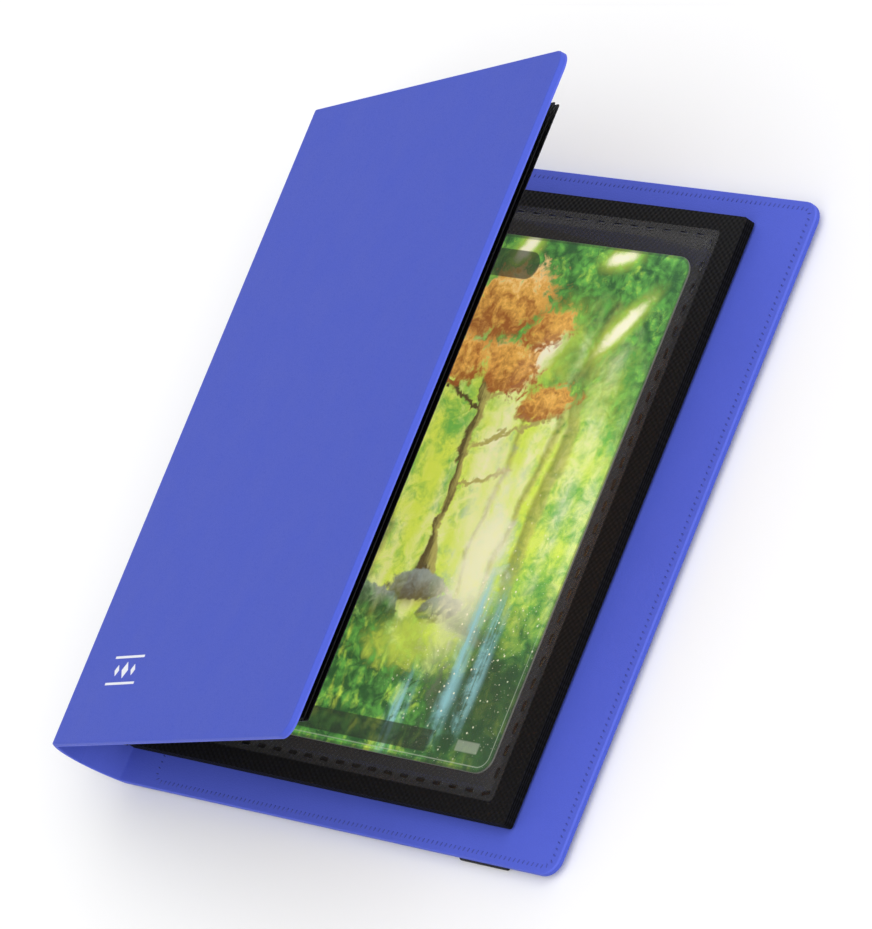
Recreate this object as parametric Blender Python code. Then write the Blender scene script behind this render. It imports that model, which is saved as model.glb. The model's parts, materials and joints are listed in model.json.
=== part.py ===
"""Trading card binder: two stiff leatherette covers, a soft spine, ten pocket pages and an elastic strap.

The binder lies on its back cover with the front cover a little open. X runs from the spine to the fore
edge, Y from the tail to the head, and Z up. Sizes are in millimetres and become metres at the end.
"""
import math

import bmesh
import bpy
from mathutils import Matrix

# Driving dimensions
COVER_WIDTH = 102.1
COVER_HEIGHT = 113.3
COVER_THICKNESS = 1.25
SHEET_THICKNESS = 0.4  # one layer of leatherette
CORNER_RADIUS = 3.0
SPINE_WIDTH = 13.6
SPINE_BOW = 2.6
SPINE_LEAN = 6.25  # degrees past upright at rest
COVER_ANGLE = 21.8  # degrees between the covers at rest
CREASE_GAP = 0.35
HEM_WIDTH = 2.8  # where skin and lining meet round the board
LAYER_GAP = 0.02

PAGE_WIDTH = 89.85
PAGE_HEIGHT = 102.9
PAGE_TAIL = 5.65
SHEET_OF_PAGE = 0.16
SMALL_RADIUS = 0.5
FILM_THICKNESS = 0.06
FILM_RADIUS = 1.5
FILM_MARGINS = {"root": 3.0, "fore": 4.4, "tail": 3.1, "head": 2.8}
PAGES_PER_SIDE = 5
BINDING_SPAN = (1.2, 12.2)  # up the spine, for the strip that holds the page roots
BINDING_FACE = 0.1
RIGHT_ROOT = (0.8, 0.66)  # middle of the lowest right-hand page at its root
RIGHT_PITCH = 0.455
LEFT_ROOT = (0.61, 8.23)  # middle of the innermost left-hand page at its root
LEFT_PITCH = 0.75

CARD_SIZE = (63.0, 88.0, 0.3)
CARD_RADIUS = 3.0
CARD_PLACE = (19.5, 6.95)  # from the page's root and tail
POCKET_DEPTH = 0.34
WELD_WIDTH = 1.0

STITCH_INSET = 1.25
STITCH_FROM_CREASE = 8.0
THREAD = (0.3, 0.1)

STRAP_WIDTH = 10.6
STRAP_THICKNESS = 0.5
STRAP_FROM_FORE_EDGE = 11.7
STRAP_FOLD = 0.4  # where its fold turns, in from the cover's edge
STRAP_SLIT = (3.0, 3.8)
STRAP_END_LENGTH = 5.5
STRAP_CLEARANCE = 0.1

SPINE_REACH = -4.205  # the furthest point of the bowed spine behind the back crease
LOWEST = -COVER_THICKNESS - 2 * (STRAP_CLEARANCE + STRAP_THICKNESS)  # underside of the strap's folds
MIDDLE = ((SPINE_REACH + COVER_WIDTH) / 2, COVER_HEIGHT / 2, LOWEST)  # footprint centre, at the lowest level
MM = 0.001
ARC_STEPS = 6

COLOURS = {
    "cover_leatherette": ((0.094, 0.130, 0.555), 0.55),
    "cover_lining": ((0.094, 0.130, 0.555), 0.6),
    "cover_board": ((0.35, 0.31, 0.25), 0.9),
    "thread": ((0.06, 0.09, 0.45), 0.7),
    "elastic": ((0.012, 0.012, 0.015), 0.85),
    "page_sheet": ((0.014, 0.014, 0.014), 0.5),
    "page_film": ((0.05, 0.05, 0.05), 0.12),
    "binding_strip": ((0.012, 0.012, 0.012), 0.8),
    "card": ((0.10, 0.28, 0.06), 0.4),
}


def clear_scene():
    for obj in list(bpy.data.objects):
        bpy.data.objects.remove(obj, do_unlink=True)


def material(slot):
    found = bpy.data.materials.get(slot)
    if found:
        return found
    colour, roughness = COLOURS[slot]
    made = bpy.data.materials.new(slot)
    made.use_nodes = True
    shader = made.node_tree.nodes["Principled BSDF"]
    shader.inputs["Base Color"].default_value = (*colour, 1.0)
    shader.inputs["Roughness"].default_value = roughness
    return made


def joint_axis(name, place=(0.0, 0.0), angle=0.0, parent=None):
    """An empty on an axis along Y, at (x, z), turned up from the back cover by an angle in degrees."""
    empty = bpy.data.objects.new(name, None)
    bpy.context.collection.objects.link(empty)
    if parent:
        empty.parent = parent
        empty.matrix_parent_inverse = parent.matrix_world.inverted()
    x, z = place[0] - MIDDLE[0], place[1] - MIDDLE[2]
    empty.location = (x * MM, -MIDDLE[1] * MM, z * MM)
    empty.rotation_euler = (0.0, -math.radians(angle), 0.0)
    bpy.context.view_layer.update()
    return empty


def finish(name, shape, slot, parent):
    """Turns a bmesh in millimetres into an object on its joint axis."""
    bmesh.ops.scale(shape, vec=(MM, MM, MM), verts=shape.verts)
    bmesh.ops.recalc_face_normals(shape, faces=shape.faces)
    mesh = bpy.data.meshes.new(name)
    shape.to_mesh(mesh)
    shape.free()
    mesh.materials.append(material(slot))
    obj = bpy.data.objects.new(name, mesh)
    bpy.context.collection.objects.link(obj)
    obj.parent = parent
    return obj


def arc(centre, radius, start, end, steps=ARC_STEPS):
    """Points on an arc, with its angles in degrees."""
    angles = [math.radians(start + (end - start) * step / steps) for step in range(steps + 1)]
    return [(centre[0] + radius * math.cos(a), centre[1] + radius * math.sin(a)) for a in angles]


def cover_outline(from_crease, inset):
    """Outline of a cover layer: square at the crease, round at the fore edge."""
    radius = CORNER_RADIUS if inset == 0 else max(CORNER_RADIUS - inset, 0.6)
    low, high, fore = inset, COVER_HEIGHT - inset, COVER_WIDTH - inset
    tail_corner = arc((fore - radius, low + radius), radius, -90, 0)
    head_corner = arc((fore - radius, high - radius), radius, 0, 90)
    return [(from_crease, low), *tail_corner, *head_corner, (from_crease, high)]


def rounded_rectangle(low, high, radius):
    outline = []
    corners = ((high[0], low[1], -90), (high[0], high[1], 0), (low[0], high[1], 90), (low[0], low[1], 180))
    for x, y, start in corners:
        centre = (x - math.copysign(radius, x - low[0] - 1), y - math.copysign(radius, y - low[1] - 1))
        outline += arc(centre, radius, start, start + 90)
    return outline


def drawn(faces, shape, travel):
    """Extrudes faces of a bmesh along a vector."""
    extruded = bmesh.ops.extrude_face_region(shape, geom=faces)["geom"]
    moved = [item for item in extruded if isinstance(item, bmesh.types.BMVert)]
    bmesh.ops.translate(shape, vec=travel, verts=moved)
    return shape


def solid_of(points, travel):
    """A flat outline drawn out along a vector into a closed solid."""
    shape = bmesh.new()
    face = shape.faces.new([shape.verts.new(point) for point in points])
    return drawn([face], shape, travel)


def plate(outline, low, high):
    """A flat plate between two levels."""
    return solid_of([(x, y, low) for x, y in outline], (0, 0, high - low))


def hollow(shape, margin, depth):
    """Sinks a pocket into the underside of a plate, leaving a rim."""
    under = min(shape.faces, key=lambda face: face.calc_center_median().z)
    bmesh.ops.inset_region(shape, faces=[under], thickness=margin, use_even_offset=True)
    drawn([under], shape, (0, 0, depth))
    bmesh.ops.delete(shape, geom=[under], context="FACES_ONLY")


def ring(outer, inner, low, high):
    """A flat closed band between two outlines with the same number of points."""
    shape = bmesh.new()
    loops = [[shape.verts.new((x, y, low)) for x, y in outline] for outline in (outer, inner)]
    edges = [shape.edges.new(pair) for loop in loops for pair in zip(loop, loop[1:] + loop[:1])]
    faces = bmesh.ops.bridge_loops(shape, edges=edges)["faces"]
    return drawn(faces, shape, (0, 0, high - low))


def along_x(profile, low, high):
    """A (y, z) profile drawn out along X."""
    return solid_of([(low, y, z) for y, z in profile], (high - low, 0, 0))


def along_y(profile, low, high):
    """An (x, z) profile drawn out along Y."""
    return solid_of([(x, low, z) for x, z in profile], (0, high - low, 0))


def flipped(shape, side):
    """The same shape with its outer side up (1) or down (-1)."""
    if side < 0:
        bmesh.ops.scale(shape, vec=(1, 1, -1), verts=shape.verts)
    return shape


def cover_skin(name, axis, side):
    """The outer sheet, thick at its hem and hollow where the board lies."""
    rim = SHEET_THICKNESS + LAYER_GAP
    shape = plate(cover_outline(CREASE_GAP, 0), rim, COVER_THICKNESS)
    hollow(shape, HEM_WIDTH, COVER_THICKNESS - SHEET_THICKNESS - rim)
    beside_strap = (strap_span()[0] - 1, 0, 0)
    everything = shape.verts[:] + shape.edges[:] + shape.faces[:]
    bmesh.ops.bisect_plane(shape, geom=everything, plane_co=beside_strap, plane_no=(1, 0, 0))
    return finish(name, flipped(shape, side), "cover_leatherette", axis)


def cover_board(name, axis, side):
    inset = HEM_WIDTH + 0.2
    low = SHEET_THICKNESS + 2 * LAYER_GAP
    high = COVER_THICKNESS - SHEET_THICKNESS - LAYER_GAP
    shape = plate(cover_outline(CREASE_GAP + inset, inset), low, high)
    return finish(name, flipped(shape, side), "cover_board", axis)


def cover_lining(name, axis, side):
    shape = plate(cover_outline(CREASE_GAP, 0), 0, SHEET_THICKNESS)
    return finish(name, flipped(shape, side), "cover_lining", axis)


def lining_stitching(name, axis, side):
    """The seam round the lining, as one closed thread lying on it."""
    width, height = THREAD
    outlines = []
    for inset, radius in ((STITCH_INSET - width / 2, 1.5 + width), (STITCH_INSET + width / 2, 1.5)):
        shift = inset - STITCH_INSET
        low = (STITCH_FROM_CREASE + shift, inset)
        high = (COVER_WIDTH - inset, COVER_HEIGHT - inset)
        outlines.append(rounded_rectangle(low, high, radius))
    shape = ring(*outlines, -LAYER_GAP - height, -LAYER_GAP)
    return finish(name, flipped(shape, side), "thread", axis)


def cutter(name, low, high, parent):
    """A box that cuts other pieces and isn't part of the binder."""
    outline = [(low[0], low[1]), (high[0], low[1]), (high[0], high[1]), (low[0], high[1])]
    box = finish(name, plate(outline, low[2], high[2]), "cover_board", parent)
    box.hide_render = True
    box.display_type = "WIRE"
    return box


def cut(obj, box):
    boolean = obj.modifiers.new(box.name, "BOOLEAN")
    boolean.operation = "DIFFERENCE"
    boolean.solver = "EXACT"
    boolean.object = box


def from_edge(distance, edge):
    """A place along Y, measured inwards from the tail or the head edge."""
    return distance if edge == "tail" else COVER_HEIGHT - distance


def strap_span():
    high = COVER_WIDTH - STRAP_FROM_FORE_EDGE
    return high - STRAP_WIDTH, high


def strap_end(edge, axis, skin, board):
    """One sewn-in end of the strap, with the slit it passes through and its recess in the board."""
    left, right = strap_span()
    start, far = STRAP_SLIT[0], STRAP_SLIT[0] + STRAP_END_LENGTH
    slit = sorted(from_edge(place, edge) for place in STRAP_SLIT)
    recess = sorted(from_edge(place, edge) for place in (start - 0.9, far + 0.4))
    below, above = -COVER_THICKNESS - 1, -0.1
    sides = (left - 0.3, right + 0.3)
    for obj, span in ((skin, slit), (board, recess)):
        box = cutter(f"{obj.name}_{edge}", (sides[0], span[0], below), (sides[1], span[1], above), axis)
        cut(obj, box)
    near, turn = STRAP_SLIT[0] + 0.1, STRAP_SLIT[1] - 0.1
    outside = -COVER_THICKNESS
    inside = outside + SHEET_THICKNESS + LAYER_GAP
    top = -SHEET_THICKNESS - LAYER_GAP
    bend = ((near, outside), (turn, outside), (turn, inside), (far, inside), (far, top), (near, top))
    shape = along_x([(from_edge(y, edge), z) for y, z in bend], left, right)
    return finish(f"strap_end_{edge}", shape, "elastic", axis)


def ribbon(line, thickness):
    """The closed outline of a ribbon of even thickness round a line of (y, z) points."""
    sides = ([], [])
    for index, here in enumerate(line):
        before, after = line[max(index - 1, 0)], line[min(index + 1, len(line) - 1)]
        run = (after[0] - before[0], after[1] - before[1])
        length = math.hypot(*run)
        normal = (-run[1] / length, run[0] / length)
        for side, offsets in zip((1, -1), sides):
            offsets.append(tuple(here[i] + side * normal[i] * thickness / 2 for i in (0, 1)))
    return sides[0] + sides[1][::-1]


def elastic_strap(axis):
    """The strap lies on the outside of the back cover and folds back on itself at both ends."""
    upper = -COVER_THICKNESS - STRAP_CLEARANCE - STRAP_THICKNESS / 2
    radius = (STRAP_THICKNESS + STRAP_CLEARANCE) / 2
    lower = upper - 2 * radius
    fold = arc((STRAP_FOLD, upper - radius), radius, 90, 270, steps=8)
    half = [(STRAP_SLIT[1], upper), *fold, (7.0, lower), (13.0, upper)]
    other = [(COVER_HEIGHT - y, z) for y, z in reversed(half)]
    shape = along_x(ribbon(half + other, STRAP_THICKNESS), *strap_span())
    return finish("elastic_strap", shape, "elastic", axis)


def bowed(depth, low, high):
    """Points of the spine's curve at a depth behind its inner side, between two heights."""
    radius = (SPINE_WIDTH**2 / 4 + SPINE_BOW**2) / (2 * SPINE_BOW)
    centre = (radius - SPINE_BOW, SPINE_WIDTH / 2)
    start, end = (180 - math.degrees(math.asin((height - centre[1]) / radius)) for height in (low, high))
    return arc(centre, radius + depth, start, end, steps=2 * ARC_STEPS)


def spine_layer(name, depths, slot, axis):
    """One sheet of the bowed spine, from crease to crease."""
    edge = CREASE_GAP + 0.2
    inner, outer = (bowed(depth, edge, SPINE_WIDTH - edge) for depth in depths)
    return finish(name, along_y(inner + outer[::-1], 0, COVER_HEIGHT), slot, axis)


def spine(axis):
    skin = (SHEET_THICKNESS + LAYER_GAP, 2 * SHEET_THICKNESS + LAYER_GAP)
    spine_layer("spine_skin", skin, "cover_leatherette", axis)
    spine_layer("spine_lining", (0, SHEET_THICKNESS), "cover_lining", axis)
    low, high = BINDING_SPAN
    outline = [(BINDING_FACE, low), *bowed(-LAYER_GAP, low, high), (BINDING_FACE, high)]
    strip = along_y(outline, PAGE_TAIL, PAGE_TAIL + PAGE_HEIGHT)
    finish("page_binding_strip", strip, "binding_strip", axis)


def page_sheet(name, axis):
    outline = rounded_rectangle((0, PAGE_TAIL), (PAGE_WIDTH, PAGE_TAIL + PAGE_HEIGHT), SMALL_RADIUS)
    shape = plate(outline, -SHEET_OF_PAGE / 2, SHEET_OF_PAGE / 2)
    return finish(name, shape, "page_sheet", axis)


def page_film(name, axis, side, holds_card=False):
    """A clear film welded on one side of a page, raised over its card where it holds one."""
    low = (FILM_MARGINS["root"], PAGE_TAIL + FILM_MARGINS["tail"])
    high = (PAGE_WIDTH - FILM_MARGINS["fore"], PAGE_TAIL + PAGE_HEIGHT - FILM_MARGINS["head"])
    base = SHEET_OF_PAGE / 2 + LAYER_GAP
    rise = POCKET_DEPTH if holds_card else 0
    shape = plate(rounded_rectangle(low, high, FILM_RADIUS), base, base + rise + FILM_THICKNESS)
    if holds_card:
        hollow(shape, WELD_WIDTH, rise)
    return finish(name, flipped(shape, side), "page_film", axis)


def trading_card(name, axis, side):
    low = (CARD_PLACE[0], PAGE_TAIL + CARD_PLACE[1])
    high = (low[0] + CARD_SIZE[0], low[1] + CARD_SIZE[1])
    base = SHEET_OF_PAGE / 2 + LAYER_GAP
    shape = plate(rounded_rectangle(low, high, CARD_RADIUS), base, base + CARD_SIZE[2])
    return finish(name, flipped(shape, side), "card", axis)


def page(number, axis, reader_side, card=None):
    """One page, with a card in its reader's side where a name for the card is given."""
    name = f"page_{number:02d}"
    page_sheet(f"{name}_sheet", axis)
    page_film(f"{name}_front_film", axis, reader_side, holds_card=bool(card))
    page_film(f"{name}_back_film", axis, -reader_side)
    if card:
        trading_card(card, axis, reader_side)


def right_pages(spine_axis):
    """Pages on the back cover, from the lowest up. Each carries the ones that lie on it."""
    parent = spine_axis
    for index in range(PAGES_PER_SIDE):
        place = (RIGHT_ROOT[0], RIGHT_ROOT[1] + index * RIGHT_PITCH)
        parent = joint_axis(f"page_{index + 1:02d}_root", place, 0.0, parent)
        top = index == PAGES_PER_SIDE - 1
        page(index + 1, parent, 1, card="right_trading_card" if top else None)


def left_pages(spine_axis):
    """Pages under the front cover, from the outermost in. Each carries the ones that lie inside it."""
    parent = spine_axis
    turn = math.radians(COVER_ANGLE)
    for index in reversed(range(PAGES_PER_SIDE)):
        step = index * LEFT_PITCH
        place = (LEFT_ROOT[0] - step * math.sin(turn), LEFT_ROOT[1] + step * math.cos(turn))
        number = PAGES_PER_SIDE + 1 + index
        parent = joint_axis(f"page_{number:02d}_root", place, COVER_ANGLE, parent)
        page(number, parent, -1, card="left_trading_card" if index == 0 else None)


def back_cover(axis):
    skin = cover_skin("back_cover_skin", axis, -1)
    board = cover_board("back_cover_board", axis, -1)
    cover_lining("back_cover_lining", axis, -1)
    lining_stitching("back_lining_stitching", axis, -1)
    for edge in ("tail", "head"):
        strap_end(edge, axis, skin, board)


def front_cover(axis):
    cover_skin("front_cover_skin", axis, 1)
    cover_board("front_cover_board", axis, 1)
    cover_lining("front_cover_lining", axis, 1)
    lining_stitching("front_lining_stitching", axis, 1)


def main():
    clear_scene()
    back_axis = joint_axis("back_crease")
    back_cover(back_axis)
    elastic_strap(joint_axis("strap_slide", parent=back_axis))
    spine_axis = joint_axis("spine_crease", angle=SPINE_LEAN, parent=back_axis)
    spine(spine_axis)
    lean = math.radians(SPINE_LEAN)
    front_place = (-SPINE_WIDTH * math.sin(lean), SPINE_WIDTH * math.cos(lean))
    front_cover(joint_axis("front_crease", front_place, COVER_ANGLE, spine_axis))
    right_pages(spine_axis)
    left_pages(spine_axis)


main()
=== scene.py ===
import json
import math

import bmesh
import bpy
from mathutils import Matrix, Vector


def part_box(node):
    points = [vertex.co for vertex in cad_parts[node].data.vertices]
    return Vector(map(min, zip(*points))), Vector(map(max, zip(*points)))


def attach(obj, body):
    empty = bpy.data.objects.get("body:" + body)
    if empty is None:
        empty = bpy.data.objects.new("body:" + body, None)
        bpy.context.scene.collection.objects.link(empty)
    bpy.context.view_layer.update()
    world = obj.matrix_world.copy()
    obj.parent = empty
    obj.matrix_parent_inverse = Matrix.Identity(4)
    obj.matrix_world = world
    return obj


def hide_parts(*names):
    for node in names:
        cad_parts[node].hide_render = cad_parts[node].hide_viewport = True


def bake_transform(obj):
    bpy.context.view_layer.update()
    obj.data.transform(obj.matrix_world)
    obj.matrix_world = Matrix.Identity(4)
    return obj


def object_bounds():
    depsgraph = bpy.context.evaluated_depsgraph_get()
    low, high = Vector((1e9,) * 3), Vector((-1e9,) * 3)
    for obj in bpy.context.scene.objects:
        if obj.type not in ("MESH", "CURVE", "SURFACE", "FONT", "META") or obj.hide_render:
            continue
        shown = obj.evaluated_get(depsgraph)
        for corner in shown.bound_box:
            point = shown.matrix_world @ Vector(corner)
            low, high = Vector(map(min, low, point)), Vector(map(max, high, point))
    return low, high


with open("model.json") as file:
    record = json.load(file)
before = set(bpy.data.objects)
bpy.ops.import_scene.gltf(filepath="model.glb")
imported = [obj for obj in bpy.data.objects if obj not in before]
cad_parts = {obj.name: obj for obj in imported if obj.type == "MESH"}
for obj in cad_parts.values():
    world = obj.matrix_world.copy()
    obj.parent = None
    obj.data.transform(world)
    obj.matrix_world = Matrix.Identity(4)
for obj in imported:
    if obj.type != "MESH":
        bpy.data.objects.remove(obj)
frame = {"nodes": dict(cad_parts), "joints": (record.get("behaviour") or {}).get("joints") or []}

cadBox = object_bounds()
mm = 0.001


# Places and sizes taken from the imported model, in millimetres from the back crease and the tail edge.

joints = {joint["name"]: joint for joint in frame["joints"]}
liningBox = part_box("back_cover_lining")
tailY = liningBox[0].y


def jointPlace(name):
    x, y, z = joints[name]["pos_m"]
    return Vector((x, tailY, z))


backCrease = jointPlace("spine_hinge")
frontCrease = jointPlace("front_cover_hinge")
spineLean = -joints["spine_hinge"]["range_deg"][0]  # past upright
frontFold = -joints["front_cover_hinge"]["range_deg"][0]  # front cover against the spine
coverAngle = spineLean + frontFold


def placing(point, turn, side=1):  # turned up round the Y axis, and upside down where side is -1
    turned = Matrix.Rotation(-math.radians(turn), 4, "Y") @ Matrix.Diagonal((mm, mm, mm * side, 1))
    return Matrix.Translation(point) @ turned


def nodeSize(name):
    low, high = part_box(name)
    return (high - low) / mm


def fromCrease(name, corner):  # a node's lowest or highest corner, from the back crease and the tail
    return (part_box(name)[corner] - backCrease) / mm


backPlace = placing(backCrease, 0, -1)
frontPlace = placing(frontCrease, coverAngle)


# Materials

class Wire:  # a socket that takes part in sums
    def __init__(self, tree, socket=None):
        self.tree = tree
        self.socket = socket

    def node(self, kind, settings, inputs, output=0):
        made = self.tree.nodes.new(kind)
        for name, value in settings.items():
            setattr(made, name, value)
        for name, value in inputs.items():
            if isinstance(value, Wire):
                self.tree.links.new(value.socket, made.inputs[name])
            else:
                made.inputs[name].default_value = value
        return Wire(self.tree, made.outputs[output])

    def maths(self, operation, first, second=0.0):
        return self.node("ShaderNodeMath", {"operation": operation}, {0: first, 1: second})

    def __add__(self, other):
        return self.maths("ADD", self, other)

    def __radd__(self, other):
        return self.maths("ADD", other, self)

    def __sub__(self, other):
        return self.maths("SUBTRACT", self, other)

    def __rsub__(self, other):
        return self.maths("SUBTRACT", other, self)

    def __mul__(self, other):
        return self.maths("MULTIPLY", self, other)

    def __rmul__(self, other):
        return self.maths("MULTIPLY", other, self)

    def __truediv__(self, other):
        return self.maths("DIVIDE", self, other)

    def __abs__(self):
        return self.maths("ABSOLUTE", self)


def newMaterial(name, **values):  # a Principled material whose fixed values are given by socket name
    made = bpy.data.materials.new(name)
    made.use_nodes = True
    shader = made.node_tree.nodes["Principled BSDF"]
    for socket, value in values.items():
        shader.inputs[socket.replace("_", " ")].default_value = value
    return made, Wire(made.node_tree)


def feed(made, **wires):
    shader = made.node_tree.nodes["Principled BSDF"]
    for socket, wire in wires.items():
        made.node_tree.links.new(wire.socket, shader.inputs[socket.replace("_", " ")])


def colour(red, green, blue):
    return (red, green, blue, 1.0)


def mixColours(wire, low, high, factor):
    return wire.node("ShaderNodeMix", {"data_type": "RGBA"}, {0: factor, 6: low, 7: high}, 2)


def smoothStep(value, low, high):  # 0 below low, 1 above high
    inputs = {"Value": value, "From Min": low, "From Max": high}
    return value.node("ShaderNodeMapRange", {"interpolation_type": "SMOOTHSTEP"}, inputs)


def between(value, low, high, soft):
    return smoothStep(value, low - soft, low + soft) * (1 - smoothStep(value, high - soft, high + soft))


def objectPoint(wire):
    return wire.node("ShaderNodeTexCoord", {}, {}, "Object")


def flatPoint(wire, shift=(0, 0, 0), scale=(1, 1, 1), turn=0.0):  # its own flat map, in mm
    flat = wire.node("ShaderNodeUVMap", {"uv_map": "flat"}, {})
    inputs = {"Vector": flat, "Location": shift, "Rotation": (0, 0, math.radians(turn)), "Scale": scale}
    return wire.node("ShaderNodeMapping", {}, inputs)


def axes(point):
    return [point.node("ShaderNodeSeparateXYZ", {}, {"Vector": point}, axis) for axis in (0, 1)]


def noise(point, scale, detail=2.0, roughness=0.5, distortion=0.0, output=0):
    inputs = {"Vector": point, "Scale": scale, "Detail": detail, "Roughness": roughness}
    return point.node("ShaderNodeTexNoise", {}, {**inputs, "Distortion": distortion}, output)


def cells(point, scale, feature="F1", output="Distance", randomness=1.0):
    inputs = {"Vector": point, "Scale": scale, "Randomness": randomness}
    return point.node("ShaderNodeTexVoronoi", {"feature": feature}, inputs, output)


def bump(height, strength, distance, below=None):
    inputs = {"Height": height, "Strength": strength, "Distance": distance * mm}
    if below:
        inputs["Normal"] = below
    return height.node("ShaderNodeBump", {}, inputs, "Normal")


# Cover and lining are one leatherette: the outer tone is painted darker (painted shade) and the inner tone
# lighter (painted light), to even out how the lamps fall on the outside and the inside.
leather = {"outer": (0.065, 0.100, 0.550), "inner": (0.092, 0.130, 0.640), "grain": 0.42,
           "grainDepth": 0.05, "roughness": 0.56}


def leatherette(name, tone):
    made, wire = newMaterial(name, Specular_IOR_Level=0.12)
    point = objectPoint(wire)
    pores = cells(point, 1 / (leather["grain"] * mm), "DISTANCE_TO_EDGE")
    creases = smoothStep(pores, 0.0, 0.14)
    fine = noise(point, 1 / (0.16 * mm), 2.0)
    cloudy = noise(point, 1 / (9.0 * mm), 3.0)
    mottled = noise(point, 1 / (0.9 * mm), 2.0)
    red, green, blue = tone
    dark = colour(red * 0.93, green * 0.93, blue * 0.94)
    light = colour(red * 1.07, green * 1.07, blue * 1.05)
    base = mixColours(wire, dark, light, cloudy * 0.55 + mottled * 0.25 + creases * 0.2)
    height = creases * 0.6 + fine * 0.4
    soft = noise(point, 1 / (22.0 * mm), 2.0)
    large = bump(soft, 0.25, 0.6)
    roughness = leather["roughness"] - 0.1 * creases + 0.14 * cloudy
    feed(made, Base_Color=base, Roughness=roughness,
         Normal=bump(height, 0.35, leather["grainDepth"], large))
    return made


def threadMaterial():
    made, wire = newMaterial("seamThread", Specular_IOR_Level=0.3)
    point = objectPoint(wire)
    plies = noise(point, 1 / (0.12 * mm), 2.0)
    base = mixColours(wire, colour(0.042, 0.060, 0.32), colour(0.072, 0.100, 0.47), plies)
    feed(made, Base_Color=base, Roughness=0.6 + 0.2 * plies, Normal=bump(plies, 0.6, 0.05))
    return made


def boardMaterial():
    made, wire = newMaterial("greyBoard", Specular_IOR_Level=0.2)
    point = objectPoint(wire)
    fibres = noise(point, 1 / (0.5 * mm), 5.0, 0.7)
    specks = smoothStep(cells(point, 1 / (1.6 * mm)), 0.0, 0.25)
    base = mixColours(wire, colour(0.24, 0.21, 0.17), colour(0.42, 0.38, 0.31), fibres * specks)
    feed(made, Base_Color=base, Roughness=0.85 + 0.1 * fibres, Normal=bump(fibres, 0.5, 0.06))
    return made


weave = {"pitch": 1.1, "base": 0.0050, "light": 0.0150}


def wovenPlastic():
    made, wire = newMaterial("wovenPlastic", Specular_IOR_Level=0.12)
    x, y = axes(flatPoint(wire))
    turn = 2 * math.pi / weave["pitch"]
    across = x.maths("SINE", (x + y * 0.12) * turn)
    along = x.maths("SINE", (y - x * 0.12) * turn)
    threads = 0.5 + 0.5 * across * along
    grain = noise(flatPoint(wire), 2.2, 2.0)
    dark = colour(*(weave["base"],) * 3)
    light = colour(weave["light"], weave["light"], weave["light"] * 1.05)
    base = mixColours(wire, dark, light, threads * grain * 1.6)
    roughness = 0.5 - 0.14 * threads + 0.1 * grain
    feed(made, Base_Color=base, Roughness=roughness, Normal=bump(threads, 0.7, 0.12))
    return made


pocket = {"alpha": 0.10, "tone": 0.17, "roughness": 0.05}
# Near-black, mostly opaque film over the weld dents: the dents are real, their dark colour is painted
# shade for their shaded walls.
weldDentShade = {"alpha": 0.72, "tone": 0.006, "roughness": 0.16}
filmIndex = 1.9  # how strongly the films mirror


def clearFilm(name, finish):
    made, wire = newMaterial(name, Alpha=finish["alpha"], IOR=filmIndex)
    point = flatPoint(wire)
    waves = noise(point, 0.035, 1.0)
    scuffs = noise(flatPoint(wire, scale=(0.15, 1.4, 1.0), turn=24), 1.0, 4.0, 0.6)
    tone = finish["tone"]
    dark, light = colour(tone * 0.85, tone * 0.85, tone * 0.87), colour(tone, tone, tone)
    roughness = finish["roughness"] + 0.06 * smoothStep(scuffs, 0.55, 0.75)
    feed(made, Base_Color=mixColours(wire, dark, light, scuffs), Roughness=roughness,
         Normal=bump(waves, 0.3, 0.9))
    return made


elasticTones = colour(0.006, 0.006, 0.008), colour(0.03, 0.03, 0.035)
elastic = {"rib": 0.72, "pick": 0.46}


def elasticMaterial():
    made, wire = newMaterial("wovenElastic", Specular_IOR_Level=0.25)
    x, y = axes(flatPoint(wire))
    ribs = 0.5 + 0.5 * x.maths("SINE", x * (2 * math.pi / elastic["rib"]))
    picks = 0.5 + 0.5 * x.maths("SINE", (y + x * 0.2) * (2 * math.pi / elastic["pick"]))
    fuzz = noise(flatPoint(wire), 5.0, 3.0)
    threads = ribs * 0.6 + picks * 0.4
    base = mixColours(wire, *elasticTones, threads * 0.6 + fuzz * 0.4)
    feed(made, Base_Color=base, Roughness=0.75 + 0.15 * fuzz, Normal=bump(threads, 0.8, 0.12))
    return made


def sewnElasticMaterial():  # on the strap's sewn-in ends, which have no flat map
    made, wire = newMaterial("sewnElastic", Specular_IOR_Level=0.25)
    x, y = axes(objectPoint(wire))
    ribs = 0.5 + 0.5 * x.maths("SINE", x * (2 * math.pi / (elastic["rib"] * mm)))
    picks = 0.5 + 0.5 * x.maths("SINE", y * (2 * math.pi / (elastic["pick"] * mm)))
    threads = ribs * 0.6 + picks * 0.4
    base = mixColours(wire, *elasticTones, threads)
    feed(made, Base_Color=base, Roughness=0.75 + 0.15 * threads, Normal=bump(threads, 0.8, 0.12))
    return made


def bindingMaterial():
    made, wire = newMaterial("bindingRubber", Specular_IOR_Level=0.3)
    point = objectPoint(wire)
    skin = noise(point, 1 / (0.8 * mm), 4.0, 0.6)
    base = mixColours(wire, colour(0.008, 0.008, 0.009), colour(0.02, 0.02, 0.022), skin)
    feed(made, Base_Color=base, Roughness=0.7 + 0.2 * skin, Normal=bump(skin, 0.5, 0.08))
    return made


def printMaterial():
    made, wire = newMaterial("whitePrint", Specular_IOR_Level=0.4)
    point = objectPoint(wire)
    speckle = noise(point, 1 / (0.25 * mm), 3.0)
    base = mixColours(wire, colour(0.78, 0.80, 0.90), colour(0.95, 0.96, 1.0), speckle)
    feed(made, Base_Color=base, Roughness=0.4 + 0.15 * speckle, Normal=bump(speckle, 0.3, 0.02))
    return made


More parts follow.
